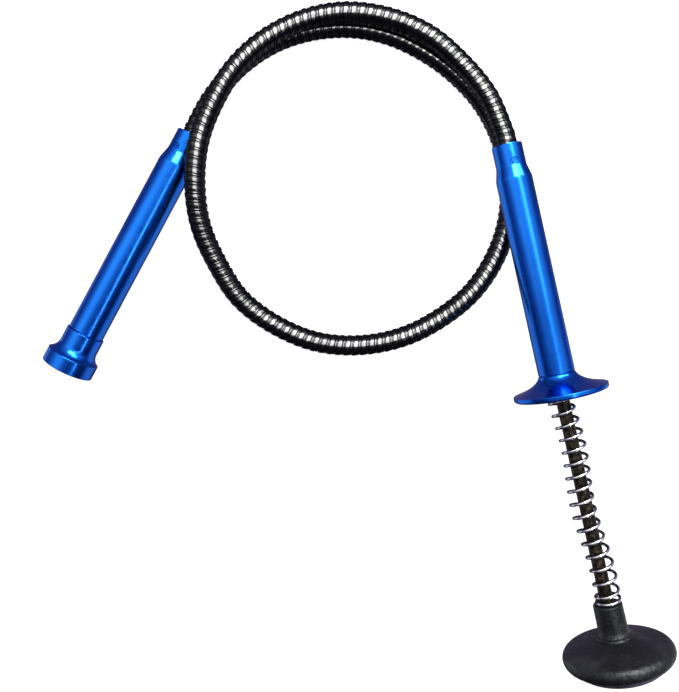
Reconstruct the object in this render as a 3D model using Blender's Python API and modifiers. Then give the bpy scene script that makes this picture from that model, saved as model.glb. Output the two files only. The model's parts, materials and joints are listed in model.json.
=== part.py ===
"""Drain auger: a plunger grip, a looped gooseneck hose and a four-claw head.

The tool lies on a table at z = 0, with +Z up.  The grip and the head are turned
parts, each designed along its own axis: "station" is the distance along that
axis and "radius" the distance from it.  The grip's station 0 is the end of its
collar, with the thumb button at the far end.  The head's station 0 is the mouth,
with everything inside it at negative stations.
"""

import math

import bmesh
import bpy
from mathutils import Matrix, Vector

MM = 0.001
GAP = 0.3 * MM
MERGE = 1e-6
STEPS = 32
SMALL_STEPS = 20

# Where the two axes lie on the table.
GRIP_START = (57.3 * MM, 94.3 * MM)
GRIP_HEADING = math.radians(-78.0)
HEAD_MOUTH = (-108.4 * MM, 10.6 * MM)
HEAD_HEADING = math.radians(-118.0)
HEAD_MOUTH_HEIGHT = 9.9 * MM
HEAD_RISE = math.radians(0.5)

# Tubes and hose.
TUBE_RADIUS = 6.75 * MM
TUBE_BORE = 5.5 * MM
COLLAR_RADIUS = 5.65 * MM
COLLAR_LENGTH = 8.3 * MM
TAPER_LENGTH = 4.6 * MM
COUNTERBORE = 6.25 * MM
HOSE_RADIUS = 4.0 * MM
HOSE_WALL = 1.3 * MM
HOSE_SEAT = 9.5 * MM
CABLE_RADIUS = 1.0 * MM
CABLE_HOLE = 2.9 * MM
SHOULDER = 1.5 * MM

# Grip, plunger and spring stations.
GRIP_JOINT = 86.5 * MM
FLANGE_STATION = 93.7 * MM
FLANGE_FACE = 94.7 * MM
FLANGE_RADIUS = 17.4 * MM
SPIGOT_START = 78.3 * MM
BUSH_RADIUS = 4.7 * MM
ROD_RADIUS = 2.5 * MM
ROD_HOLE = 2.8 * MM
ROD_START = 54.3 * MM
ROD_END = 188.6 * MM
ROD_BORE = 1.3 * MM
ROD_BORE_DEPTH = 43.0 * MM
STOP_START = 72.5 * MM
STOP_END = 77.9 * MM
STOP_RADIUS = 4.9 * MM
NECK_TOP = 172.9 * MM
NECK_RADIUS = 5.3 * MM
NECK_FOOT = 184.5 * MM
BEAD_RADIUS = 6.9 * MM
KNOB_STATION = 191.5 * MM
KNOB_RADIUS = 20.2 * MM
KNOB_RIM = 3.2 * MM
PALM_FACE = 198.2 * MM
PALM_RADIUS = 10.5 * MM
INSERT_RADIUS = 4.0 * MM
INSERT_START = 177.5 * MM
INSERT_END = 190.6 * MM
SPRING_RADIUS = 4.25 * MM
SPRING_WIRE = 0.6 * MM
SPRING_OPEN_TURNS = 15
SPRING_BOW = 1.1 * MM
SPRING_POINTS_PER_TURN = 12
CABLE_REAR_STATION = 57.0 * MM

# Head, carrier and claw stations.
HEAD_LENGTH = 100.5 * MM
BEZEL_LENGTH = 15.2 * MM
BEZEL_RADIUS = 7.3 * MM
BEZEL_SPIGOT = 9.0 * MM
SPIGOT_RADIUS = 5.95 * MM
RIM_RADIUS = 9.85 * MM
RIM_LENGTH = 5.4 * MM
MOUTH_RADIUS = 8.6 * MM
MOUTH_DEPTH = 12.5 * MM
CARRIER_START = -46.0 * MM
CARRIER_END = -38.0 * MM
CARRIER_RADIUS = 5.15 * MM
SLOT_FLOOR = -43.0 * MM
SLOT_WIDTH = 2.9 * MM
RING_START = -42.8 * MM
RING_END = -41.2 * MM
RING_SEAT_RADIUS = 4.35 * MM
RING_BORE = 4.65 * MM
SLEEVE_START = -84.0 * MM
SLEEVE_END = -43.6 * MM
SLEEVE_RADIUS = 2.0 * MM
SLEEVE_HOLE = 2.3 * MM
SLEEVE_FLOOR = -44.6 * MM
CABLE_FRONT_STATION = -46.0 * MM
HINGE_STATION = -40.0 * MM
HINGE_RADIUS = 2.4 * MM
CLAW_LENGTH = 38.0 * MM
CLAW_TAIL = 1.4 * MM
CLAW_WIDTH = 2.3 * MM
CLAW_THICKNESS = 0.7 * MM
CLAW_ROOT_SLOPE = math.radians(-5.0)
CLAW_TIP_SLOPE = math.radians(13.0)
CLAW_HOOK_TURN = math.radians(100.0)
CLAW_HOOK_BEND = 0.9 * MM
CLAW_HOOK_LENGTH = 2.4 * MM
CLAW_COUNT = 4
CLAW_STATIONS = 12

# Grub screws that clamp the hose in each collar.
SCREW_RADIUS = 1.0 * MM
SCREW_HOLE = 1.25 * MM
SCREW_INNER = 4.4 * MM
SCREW_OUTER = 5.4 * MM
SCREW_SOCKET = 0.5 * MM
SCREW_FROM_COLLAR_END = 6.7 * MM
GRIP_SCREW_ANGLE = math.radians(-5.0)
HEAD_SCREW_ANGLE = math.radians(20.0)

# The coil's climb from the flange, as (turns, rise): closed, open, then closing up.
SPRING_CLIMB = [
    (-0.5, 0.0),
    (0.0, 0.6 * MM),
    (SPRING_OPEN_TURNS, 73.6 * MM),
    (SPRING_OPEN_TURNS + 1.0, 76.3 * MM),
    (SPRING_OPEN_TURNS + 1.5, 76.4 * MM),
]

# The slack coil snakes around the rod, as (rise, sideways).
SPRING_SWAY = [
    (0.0, 0.8 * MM),
    (18.0 * MM, -0.3 * MM),
    (41.0 * MM, 1.1 * MM),
    (67.0 * MM, -1.0 * MM),
    (77.0 * MM, -0.6 * MM),
]

# The hose's own route between the two collars: once round, then over itself.
HOSE_ROUTE = [
    (0.0560, 0.1001, 0.0140),
    (0.0500, 0.1136, 0.0140),
    (0.0400, 0.1256, 0.0143),
    (0.0280, 0.1356, 0.0147),
    (0.0135, 0.1416, 0.0152),
    (-0.0025, 0.1436, 0.0158),
    (-0.0180, 0.1406, 0.0165),
    (-0.0325, 0.1331, 0.0173),
    (-0.0440, 0.1221, 0.0182),
    (-0.0520, 0.1086, 0.0189),
    (-0.0570, 0.0946, 0.0190),
    (-0.0585, 0.0796, 0.0178),
    (-0.0570, 0.0646, 0.0140),
    (-0.0515, 0.0506, 0.0097),
    (-0.0430, 0.0371, 0.0063),
    (-0.0300, 0.0271, 0.0046),
    (-0.0145, 0.0206, 0.0041),
    (0.0020, 0.0191, 0.0041),
    (0.0185, 0.0221, 0.0041),
    (0.0330, 0.0291, 0.0041),
    (0.0460, 0.0396, 0.0041),
    (0.0550, 0.0531, 0.0041),
    (0.0600, 0.0681, 0.0041),
    (0.0605, 0.0841, 0.0041),
    (0.0570, 0.0991, 0.0041),
    (0.0500, 0.1126, 0.0041),
    (0.0400, 0.1236, 0.0041),
    (0.0285, 0.1321, 0.0041),
    (0.0150, 0.1386, 0.0041),
    (0.0005, 0.1416, 0.0043),
    (-0.0150, 0.1406, 0.0048),
    (-0.0300, 0.1356, 0.0055),
    (-0.0430, 0.1266, 0.0065),
    (-0.0535, 0.1141, 0.0078),
]
HOSE_POINTS = 78

BLUE = (0.01, 0.09, 0.52, 1.0)
BLACK_METAL = (0.02, 0.02, 0.022, 1.0)
BROWN_STEEL = (0.05, 0.04, 0.035, 1.0)
BRIGHT_STEEL = (0.75, 0.74, 0.72, 1.0)
PLAIN_STEEL = (0.42, 0.42, 0.42, 1.0)
BRASS = (0.55, 0.40, 0.16, 1.0)
RUBBER = (0.035, 0.036, 0.04, 1.0)


def clear_scene():
    for old in list(bpy.data.objects):
        bpy.data.objects.remove(old)


def make_collection(name):
    made = bpy.data.collections.new(name)
    bpy.context.scene.collection.children.link(made)
    return made


def make_material(name, colour, metallic, roughness):
    made = bpy.data.materials.new(name)
    made.use_nodes = True
    shader = made.node_tree.nodes["Principled BSDF"]
    shader.inputs["Base Color"].default_value = colour
    shader.inputs["Metallic"].default_value = metallic
    shader.inputs["Roughness"].default_value = roughness
    return made


def axis_matrix(origin, heading, rise):
    """A frame whose +Z runs along the axis and whose +X points upwards."""
    along = Vector(
        (
            math.cos(rise) * math.cos(heading),
            math.cos(rise) * math.sin(heading),
            math.sin(rise),
        )
    )
    upwards = (Vector((0, 0, 1)) - along * along.z).normalized()
    sideways = along.cross(upwards)
    turn = Matrix((upwards, sideways, along)).transposed().to_4x4()
    return Matrix.Translation(origin) @ turn


def add_axis(name, matrix, collection):
    empty = bpy.data.objects.new(name, None)
    empty.matrix_world = matrix
    collection.objects.link(empty)
    return empty


def add_object(name, data, axis, material, collection):
    made = bpy.data.objects.new(name, data)
    collection.objects.link(made)
    made.parent = axis
    if material:
        data.materials.append(material)
    return made


def turned(name, outline, axis, material, collection, closed=True, steps=STEPS):
    """A turned solid: outline is (radius, station) down the outside, then up the bore."""
    mesh = bpy.data.meshes.new(name)
    build = bmesh.new()
    verts = [build.verts.new((radius, 0.0, station)) for radius, station in outline]
    for first, second in zip(verts, verts[1:]):
        build.edges.new((first, second))
    if closed:
        build.edges.new((verts[-1], verts[0]))
    build.to_mesh(mesh)
    build.free()
    made = add_object(name, mesh, axis, material, collection)
    screw = made.modifiers.new("Screw", "SCREW")
    screw.steps = steps
    screw.render_steps = steps
    screw.use_merge_vertices = True
    screw.merge_threshold = MERGE
    screw.use_smooth_shade = True
    return made


def arc(centre, radius, start, end, count):
    """Points on a circle in the (radius, station) plane, angles in degrees."""
    points = []
    for index in range(count + 1):
        angle = math.radians(start + (end - start) * index / count)
        points.append(
            (
                centre[0] + radius * math.cos(angle),
                centre[1] + radius * math.sin(angle),
            )
        )
    return points


def as_cutter(made):
    made.hide_render = True
    made.display_type = "WIRE"


def cut(target, cutter):
    boolean = target.modifiers.new("Cut", "BOOLEAN")
    boolean.operation = "DIFFERENCE"
    boolean.object = cutter


def cutter_cylinder(name, radius, length, matrix, axis, collection, sides):
    mesh = bpy.data.meshes.new(name)
    build = bmesh.new()
    bmesh.ops.create_cone(
        build,
        cap_ends=True,
        segments=sides,
        radius1=radius,
        radius2=radius,
        depth=length,
        matrix=matrix,
    )
    build.to_mesh(mesh)
    build.free()
    made = add_object(name, mesh, axis, None, collection)
    as_cutter(made)
    return made


def cutter_box(name, size, matrix, axis, collection):
    mesh = bpy.data.meshes.new(name)
    build = bmesh.new()
    bmesh.ops.create_cube(build, size=1.0, matrix=matrix @ Matrix.Diagonal((*size, 1)))
    build.to_mesh(mesh)
    build.free()
    made = add_object(name, mesh, axis, None, collection)
    as_cutter(made)
    return made


def radial_matrix(angle, radius, station):
    """A frame whose +Z points outwards from the axis at this angle and station."""
    return (
        Matrix.Rotation(angle, 4, "Z")
        @ Matrix.Translation((radius, 0.0, station))
        @ Matrix.Rotation(math.radians(90), 4, "Y")
    )


def collar_outline(start, direction):
    """The collar's end, its cylinder and the taper up to the tube, from the end inwards."""
    edge = 0.4 * MM
    return [
        (COLLAR_RADIUS - edge, start),
        (COLLAR_RADIUS, start + direction * edge),
        (COLLAR_RADIUS, start + direction * COLLAR_LENGTH),
        (TUBE_RADIUS, start + direction * (COLLAR_LENGTH + TAPER_LENGTH)),
    ]


def collar_bore(start, direction):
    """The hose seat, the shoulder that it stops against and the cone to the bore."""
    seat_end = start + direction * HOSE_SEAT
    throat = seat_end + direction * SHOULDER
    return [
        (HOSE_RADIUS + GAP, start),
        (HOSE_RADIUS + GAP, seat_end),
        (CABLE_HOLE, seat_end),
        (CABLE_HOLE, throat),
        (TUBE_BORE, throat + direction * (TUBE_BORE - CABLE_HOLE)),
    ]


def drill_for_screw(tube, name, angle, station, axis, cutters):
    middle = (HOSE_RADIUS + TUBE_RADIUS) / 2
    hole = cutter_cylinder(
        name,
        SCREW_HOLE,
        TUBE_RADIUS - HOSE_RADIUS + 2 * MM,
        radial_matrix(angle, middle + 1 * MM, station),
        axis,
        cutters,
        16,
    )
    cut(tube, hole)


def add_set_screw(name, angle, station, axis, material, parts, cutters):
    mesh = bpy.data.meshes.new(name)
    build = bmesh.new()
    bmesh.ops.create_cone(
        build,
        cap_ends=True,
        segments=16,
        radius1=SCREW_RADIUS,
        radius2=SCREW_RADIUS,
        depth=SCREW_OUTER - SCREW_INNER,
        matrix=radial_matrix(angle, (SCREW_OUTER + SCREW_INNER) / 2, station),
    )
    build.to_mesh(mesh)
    build.free()
    screw = add_object(name, mesh, axis, material, parts)
    socket = cutter_cylinder(
        name + "_socket",
        SCREW_SOCKET,
        SCREW_OUTER - SCREW_INNER,
        radial_matrix(angle, SCREW_OUTER, station),
        axis,
        cutters,
        6,
    )
    cut(screw, socket)


def add_grip_tube(axis, material, parts, cutters):
    outside = collar_outline(0.0, 1.0)
    bore = collar_bore(0.0, 1.0)
    outline = [(TUBE_RADIUS, GRIP_JOINT)] + outside[::-1] + bore
    outline += [
        (TUBE_BORE, SPIGOT_START - GAP),
        (COUNTERBORE, SPIGOT_START - GAP),
        (COUNTERBORE, GRIP_JOINT),
    ]
    tube = turned("grip_tube", outline, axis, material, parts)
    drill_for_screw(
        tube, "grip_screw_hole", GRIP_SCREW_ANGLE, SCREW_FROM_COLLAR_END, axis, cutters
    )


def add_grip_flange(axis, material, parts):
    joint = GRIP_JOINT + GAP
    bore = BUSH_RADIUS + GAP
    outline = [
        (FLANGE_RADIUS - 1.1 * MM, FLANGE_FACE),
        (FLANGE_RADIUS - 0.3 * MM, FLANGE_FACE - 0.3 * MM),
        (FLANGE_RADIUS, FLANGE_FACE - 0.8 * MM),
        (FLANGE_RADIUS, FLANGE_FACE - 1.2 * MM),
        (FLANGE_RADIUS - 0.5 * MM, FLANGE_FACE - 1.8 * MM),
        (FLANGE_RADIUS - 1.7 * MM, FLANGE_FACE - 2.3 * MM),
        (13.6 * MM, FLANGE_FACE - 3.0 * MM),
        (11.2 * MM, FLANGE_FACE - 4.0 * MM),
        (9.2 * MM, FLANGE_FACE - 5.3 * MM),
        (7.7 * MM, FLANGE_FACE - 6.7 * MM),
        (TUBE_RADIUS, joint),
        (SPIGOT_RADIUS, joint),
        (SPIGOT_RADIUS, SPIGOT_START),
        (bore, SPIGOT_START),
        (bore, FLANGE_FACE),
    ]
    turned("grip_flange", outline, axis, material, parts)


def add_rod_bush(axis, material, parts):
    start = SPIGOT_START + 1.2 * MM
    outline = [
        (BUSH_RADIUS, FLANGE_FACE),
        (BUSH_RADIUS, start),
        (ROD_HOLE, start),
        (ROD_HOLE, FLANGE_FACE - GAP),
        (ROD_HOLE + GAP, FLANGE_FACE),
    ]
    turned("rod_bush", outline, axis, material, parts, steps=SMALL_STEPS)


def between(table, place, eased):
    """Read a table of (place, value) pairs, in straight lines or eased curves."""
    for (start, low), (end, high) in zip(table, table[1:]):
        if place <= end:
            share = max(0.0, (place - start) / (end - start))
            if eased:
                share = share * share * (3 - 2 * share)
            return low + (high - low) * share
    return table[-1][1]


def spring_points():
    """A right-handed coil from the flange to the neck, with closed ends."""
    first = SPRING_CLIMB[0][0]
    turns = SPRING_CLIMB[-1][0] - first
    count = round(turns * SPRING_POINTS_PER_TURN)
    seat = FLANGE_FACE + SPRING_WIRE + GAP
    points = []
    for index in range(count + 1):
        turn = first + turns * index / count
        angle = 2 * math.pi * turn
        share = min(max(turn / SPRING_OPEN_TURNS, 0.0), 1.0)
        rise = between(SPRING_CLIMB, turn, False)
        rise -= SPRING_BOW * math.sin(math.pi * share)
        points.append(
            (
                SPRING_RADIUS * math.cos(angle),
                SPRING_RADIUS * math.sin(angle) + between(SPRING_SWAY, rise, True),
                seat + rise,
            )
        )
    return points


def wire_curve(name, points, radius, resolution, capped):
    curve = bpy.data.curves.new(name, "CURVE")
    curve.dimensions = "3D"
    curve.bevel_depth = radius
    curve.bevel_resolution = resolution
    curve.use_fill_caps = capped
    spline = curve.splines.new("POLY")
    spline.points.add(len(points) - 1)
    for target, point in zip(spline.points, points):
        target.co = (*point, 1.0)
    return curve


def add_return_spring(axis, material, parts):
    curve = wire_curve("return_spring", spring_points(), SPRING_WIRE, 1, True)
    add_object("return_spring", curve, axis, material, parts)


def add_thumb_button(axis, material, parts):
    """The knob: a neck with a bead at its foot, a shallow cone and a domed palm side."""
    outline = [(0.0, PALM_FACE), (PALM_RADIUS, PALM_FACE)]
    outline += arc((PALM_RADIUS, PALM_FACE - 9.0 * MM), 9.0 * MM, 78, 60, 2)
    outline += arc((KNOB_RADIUS - KNOB_RIM, KNOB_STATION), KNOB_RIM, 50, -70, 6)
    outline += [
        (BEAD_RADIUS + 1.0 * MM, NECK_FOOT + 1.0 * MM),
        (BEAD_RADIUS, NECK_FOOT + 0.7 * MM),
        (BEAD_RADIUS, NECK_FOOT),
        (NECK_RADIUS + 0.2 * MM, NECK_FOOT - 0.6 * MM),
        (NECK_RADIUS, NECK_TOP + GAP),
        (NECK_RADIUS - GAP, NECK_TOP),
        (ROD_HOLE, NECK_TOP),
        (ROD_HOLE, INSERT_START - GAP),
        (INSERT_RADIUS + GAP, INSERT_START - GAP),
        (INSERT_RADIUS + GAP, INSERT_END + GAP),
        (0.0, INSERT_END + GAP),
    ]
    turned("thumb_button", outline, axis, material, parts, closed=False)


def add_button_insert(axis, material, parts):
    floor = ROD_END + GAP
    outline = [
        (0.0, INSERT_END),
        (INSERT_RADIUS, INSERT_END),
        (INSERT_RADIUS, INSERT_START),
        (ROD_HOLE, INSERT_START),
        (ROD_HOLE, floor),
        (0.0, floor),
    ]
    turned(
        "button_insert",
        outline,
        axis,
        material,
        parts,
        closed=False,
        steps=SMALL_STEPS,
    )


def add_plunger_rod(axis, material, parts):
    edge = 0.3 * MM
    bore_end = ROD_START + ROD_BORE_DEPTH
    outline = [
        (0.0, ROD_END),
        (ROD_RADIUS - edge, ROD_END),
        (ROD_RADIUS, ROD_END - edge),
        (ROD_RADIUS, ROD_START + edge),
        (ROD_RADIUS - edge, ROD_START),
        (ROD_BORE, ROD_START),
        (ROD_BORE, bore_end),
        (0.0, bore_end),
    ]
    turned(
        "plunger_rod", outline, axis, material, parts, closed=False, steps=SMALL_STEPS
    )


def add_ring(name, inner, outer, start, end, axis, material, parts):
    outline = [(outer, end), (outer, start), (inner, start), (inner, end)]
    turned(name, outline, axis, material, parts, steps=SMALL_STEPS)


def add_head_tube(axis, material, parts, cutters):
    rear = -HEAD_LENGTH
    joint = -BEZEL_LENGTH - GAP
    spigot_floor = joint - BEZEL_SPIGOT - GAP
    outside = collar_outline(rear, 1.0)
    bore = collar_bore(rear, 1.0)
    outline = [(TUBE_RADIUS, joint)] + outside[::-1] + bore
    outline += [
        (TUBE_BORE, spigot_floor),
        (COUNTERBORE, spigot_floor),
        (COUNTERBORE, joint),
    ]
    tube = turned("head_tube", outline, axis, material, parts)
    drill_for_screw(
        tube,
        "head_screw_hole",
        HEAD_SCREW_ANGLE,
        rear + SCREW_FROM_COLLAR_END,
        axis,
        cutters,
    )


def add_nose_bezel(axis, material, parts):
    """A ring with a concave flare up to a plain rim, and a spigot inside the tube."""
    edge = 0.35 * MM
    flare = 4.6 * MM
    flare_top = RIM_RADIUS - 0.25 * MM
    flare_end = -RIM_LENGTH - 0.15 * MM
    sweep = math.degrees(math.acos(1 - (flare_top - BEZEL_RADIUS) / flare))
    concave = arc(
        (BEZEL_RADIUS + flare, flare_end - flare * math.sin(math.radians(sweep))),
        flare,
        180 - sweep,
        180,
        5,
    )
    outline = [
        (RIM_RADIUS - edge, 0.0),
        (RIM_RADIUS, -edge),
        (RIM_RADIUS, -RIM_LENGTH + edge),
        (RIM_RADIUS - 0.1 * MM, -RIM_LENGTH),
    ]
    outline += concave
    outline += [
        (BEZEL_RADIUS, -BEZEL_LENGTH + 0.2 * MM),
        (BEZEL_RADIUS - 0.2 * MM, -BEZEL_LENGTH),
        (SPIGOT_RADIUS, -BEZEL_LENGTH),
        (SPIGOT_RADIUS, -BEZEL_LENGTH - BEZEL_SPIGOT),
        (TUBE_BORE, -BEZEL_LENGTH - BEZEL_SPIGOT),
        (TUBE_BORE, -MOUTH_DEPTH),
        (MOUTH_RADIUS, 0.0),
    ]
    turned("nose_bezel", outline, axis, material, parts)


def add_claw_carrier(axis, material, parts, cutters):
    """The sliding plug that holds the claws, with a crossed slot and a ring groove."""
    outline = [
        (CARRIER_RADIUS - GAP, CARRIER_END),
        (CARRIER_RADIUS, CARRIER_END - GAP),
        (CARRIER_RADIUS, RING_END + GAP),
        (RING_SEAT_RADIUS, RING_END + GAP),
        (RING_SEAT_RADIUS, RING_START - GAP),
        (CARRIER_RADIUS, RING_START - GAP),
        (CARRIER_RADIUS, CARRIER_START + GAP),
        (CARRIER_RADIUS - GAP, CARRIER_START),
        (SLEEVE_HOLE, CARRIER_START),
        (SLEEVE_HOLE, SLOT_FLOOR - GAP),
        (1.6 * MM, SLOT_FLOOR - GAP),
        (1.6 * MM, CARRIER_END),
    ]
    carrier = turned("claw_carrier", outline, axis, material, parts, steps=28)
    depth = CARRIER_END - SLOT_FLOOR
    for index in range(2):
        middle = Matrix.Rotation(math.radians(45 + 90 * index), 4, "Z")
        middle = middle @ Matrix.Translation((0, 0, SLOT_FLOOR + depth))
        slot = cutter_box(
            f"claw_slot_{index + 1}",
            (4 * CARRIER_RADIUS, SLOT_WIDTH, 2 * depth),
            middle,
            axis,
            cutters,
        )
        cut(carrier, slot)


def add_cable_end_sleeve(axis, material, parts):
    bore = CABLE_RADIUS + GAP
    outline = [
        (0.0, SLEEVE_END),
        (SLEEVE_RADIUS, SLEEVE_END),
        (SLEEVE_RADIUS, SLEEVE_START),
        (bore, SLEEVE_START),
        (bore, SLEEVE_FLOOR),
        (0.0, SLEEVE_FLOOR),
    ]
    turned(
        "cable_end_sleeve",
        outline,
        axis,
        material,
        parts,
        closed=False,
        steps=SMALL_STEPS,
    )


def claw_line():
    """The claw's centre line from its tail to its hook, as (radius, station)."""
    step = CLAW_LENGTH / CLAW_STATIONS
    radius, station = 0.0, 0.0
    tail_slope = CLAW_ROOT_SLOPE
    points = [
        (-CLAW_TAIL * math.sin(tail_slope), -CLAW_TAIL * math.cos(tail_slope)),
        (radius, station),
    ]
    for index in range(CLAW_STATIONS):
        share = (index + 0.5) / CLAW_STATIONS
        slope = CLAW_ROOT_SLOPE + (CLAW_TIP_SLOPE - CLAW_ROOT_SLOPE) * share
        radius += step * math.sin(slope)
        station += step * math.cos(slope)
        points.append((radius, station))
    bends = 4
    step = CLAW_HOOK_BEND * CLAW_HOOK_TURN / bends
    for index in range(bends):
        slope = CLAW_TIP_SLOPE - CLAW_HOOK_TURN * (index + 0.5) / bends
        radius += step * math.sin(slope)
        station += step * math.cos(slope)
        points.append((radius, station))
    slope = CLAW_TIP_SLOPE - CLAW_HOOK_TURN
    radius += CLAW_HOOK_LENGTH * math.sin(slope)
    station += CLAW_HOOK_LENGTH * math.cos(slope)
    points.append((radius, station))
    return points


def claw_mesh():
    mesh = bpy.data.meshes.new("claw")
    build = bmesh.new()
    rows = []
    for radius, station in claw_line():
        left = build.verts.new((radius, -CLAW_WIDTH / 2, station))
        right = build.verts.new((radius, CLAW_WIDTH / 2, station))
        rows.append((left, right))
    for (left, right), (next_left, next_right) in zip(rows, rows[1:]):
        build.faces.new((left, right, next_right, next_left))
    build.to_mesh(mesh)
    build.free()
    return mesh


def claw_matrix(index):
    angle = math.radians(45 + 360 / CLAW_COUNT * index)
    return Matrix.Rotation(angle, 4, "Z") @ Matrix.Translation(
        (HINGE_RADIUS, 0.0, HINGE_STATION)
    )


def add_claws(axis, material, parts):
    mesh = claw_mesh()
    mesh.materials.append(material)
    for index in range(CLAW_COUNT):
        claw = add_object(f"claw_{index + 1}", mesh, axis, None, parts)
        claw.matrix_local = claw_matrix(index)
        solidify = claw.modifiers.new("Solidify", "SOLIDIFY")
        solidify.thickness = CLAW_THICKNESS
        solidify.offset = 0.0
        solidify.use_even_offset = True


def smooth_curve(points, per_span):
    """A Catmull-Rom curve through the points."""
    ends = [2 * points[0] - points[1]] + points + [2 * points[-1] - points[-2]]
    line = []
    for index in range(1, len(ends) - 2):
        before, first, second, after = ends[index - 1 : index + 3]
        for step in range(per_span):
            t = step / per_span
            line.append(
                0.5
                * (
                    2 * first
                    + (second - before) * t
                    + (2 * before - 5 * first + 4 * second - after) * t**2
                    + (3 * first - before - 3 * second + after) * t**3
                )
            )
    line.append(points[-1])
    return line


def evenly_spaced(line, count):
    """The same line, with its points an equal distance apart."""
    lengths = [0.0]
    for first, second in zip(line, line[1:]):
        lengths.append(lengths[-1] + (second - first).length)
    spaced = []
    place = 0
    for index in range(count):
        target = lengths[-1] * index / (count - 1)
        while place < len(line) - 2 and lengths[place + 1] < target:
            place += 1
        span = lengths[place + 1] - lengths[place]
        spaced.append(line[place].lerp(line[place + 1], (target - lengths[place]) / span))
    return spaced


def hose_line(grip, head):
    """From the grip collar's seat, along the route, into the head collar's seat."""
    seat = HOSE_SEAT - GAP
    rear = -HEAD_LENGTH
    points = [grip @ Vector((0, 0, seat * share)) for share in (1.0, 0.5, 0.0)]
    points += [Vector(point) for point in HOSE_ROUTE]
    points += [head @ Vector((0, 0, rear + seat * share)) for share in (0.0, 0.5, 1.0)]
    return evenly_spaced(smooth_curve(points, 12), HOSE_POINTS)


def add_gooseneck_hose(line, material, parts):
    curve = wire_curve("gooseneck_hose", line, HOSE_RADIUS, 3, False)
    hose = add_object("gooseneck_hose", curve, None, material, parts)
    solidify = hose.modifiers.new("Solidify", "SOLIDIFY")
    solidify.thickness = HOSE_WALL
    solidify.offset = -1.0


def add_push_cable(line, grip, head, material, parts):
    points = [grip @ Vector((0, 0, CABLE_REAR_STATION))]
    points += line
    points.append(head @ Vector((0, 0, CABLE_FRONT_STATION)))
    curve = wire_curve("push_cable", points, CABLE_RADIUS, 2, True)
    add_object("push_cable", curve, None, material, parts)


def main():
    clear_scene()
    parts = make_collection("drain_auger")
    cutters = make_collection("cutters")
    grip_rise = math.asin(
        (KNOB_RADIUS - FLANGE_RADIUS) / (KNOB_STATION - FLANGE_STATION)
    )
    grip_height = FLANGE_RADIUS - FLANGE_STATION * math.sin(grip_rise)
    grip = axis_matrix((*GRIP_START, grip_height), GRIP_HEADING, grip_rise)
    head = axis_matrix((*HEAD_MOUTH, HEAD_MOUTH_HEIGHT), HEAD_HEADING, HEAD_RISE)
    grip_axis = add_axis("grip_axis", grip, parts)
    plunger_axis = add_axis("plunger_axis", grip, parts)
    head_axis = add_axis("head_axis", head, parts)
    carrier_axis = add_axis("carrier_axis", head, parts)

    blue = make_material("blue_anodised_aluminium", BLUE, 1.0, 0.25)
    black = make_material("blackened_steel", BLACK_METAL, 1.0, 0.35)
    brown = make_material("browned_steel", BROWN_STEEL, 1.0, 0.4)
    bright = make_material("nickel_plated_steel", BRIGHT_STEEL, 1.0, 0.12)
    plain = make_material("plain_steel", PLAIN_STEEL, 1.0, 0.35)
    brass = make_material("brass", BRASS, 1.0, 0.35)
    rubber = make_material("black_rubber", RUBBER, 0.0, 0.5)

    add_grip_tube(grip_axis, blue, parts, cutters)
    add_grip_flange(grip_axis, blue, parts)
    add_rod_bush(grip_axis, brown, parts)
    add_set_screw(
        "grip_set_screw",
        GRIP_SCREW_ANGLE,
        SCREW_FROM_COLLAR_END,
        grip_axis,
        black,
        parts,
        cutters,
    )
    add_return_spring(grip_axis, bright, parts)

    add_thumb_button(plunger_axis, rubber, parts)
    add_button_insert(plunger_axis, brass, parts)
    add_plunger_rod(plunger_axis, brown, parts)
    add_ring(
        "rod_stop",
        ROD_HOLE,
        STOP_RADIUS,
        STOP_START,
        STOP_END,
        plunger_axis,
        plain,
        parts,
    )

    add_head_tube(head_axis, blue, parts, cutters)
    add_nose_bezel(head_axis, blue, parts)
    add_set_screw(
        "head_set_screw",
        HEAD_SCREW_ANGLE,
        SCREW_FROM_COLLAR_END - HEAD_LENGTH,
        head_axis,
        black,
        parts,
        cutters,
    )

    add_claw_carrier(carrier_axis, brass, parts, cutters)
    add_ring(
        "claw_clamp_ring",
        RING_BORE,
        CARRIER_RADIUS,
        RING_START,
        RING_END,
        carrier_axis,
        plain,
        parts,
    )
    add_cable_end_sleeve(carrier_axis, plain, parts)
    add_claws(carrier_axis, black, parts)

    line = hose_line(grip, head)
    add_gooseneck_hose(line, black, parts)
    add_push_cable(line, grip, head, plain, parts)


main()
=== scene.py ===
"""Drain auger on a white table, seen from straight above.

Every piece stands where its CAD node stands.  The grip and the head are turned
parts, so each has an axis, and "station" is the distance along it in millimetres.
"""

import json
import math

import bmesh
import bpy
from mathutils import Matrix, Vector


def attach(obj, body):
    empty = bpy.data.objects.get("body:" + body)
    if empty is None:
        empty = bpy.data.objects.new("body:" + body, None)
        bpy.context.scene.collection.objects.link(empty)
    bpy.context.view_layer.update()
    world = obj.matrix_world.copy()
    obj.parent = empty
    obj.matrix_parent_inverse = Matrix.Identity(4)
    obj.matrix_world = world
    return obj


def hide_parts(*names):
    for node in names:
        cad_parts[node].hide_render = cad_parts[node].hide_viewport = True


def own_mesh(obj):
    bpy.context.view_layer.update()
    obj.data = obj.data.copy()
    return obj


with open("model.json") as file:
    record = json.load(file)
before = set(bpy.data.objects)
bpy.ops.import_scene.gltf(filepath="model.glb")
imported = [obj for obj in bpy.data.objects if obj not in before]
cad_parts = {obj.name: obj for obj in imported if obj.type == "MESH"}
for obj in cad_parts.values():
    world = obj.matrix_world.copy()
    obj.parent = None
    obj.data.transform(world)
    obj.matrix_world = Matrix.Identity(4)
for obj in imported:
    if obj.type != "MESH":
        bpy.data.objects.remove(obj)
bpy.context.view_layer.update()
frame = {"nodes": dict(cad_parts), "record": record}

MM = 0.001
FINE_STEPS = 160
SMALL_STEPS = 72

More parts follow.
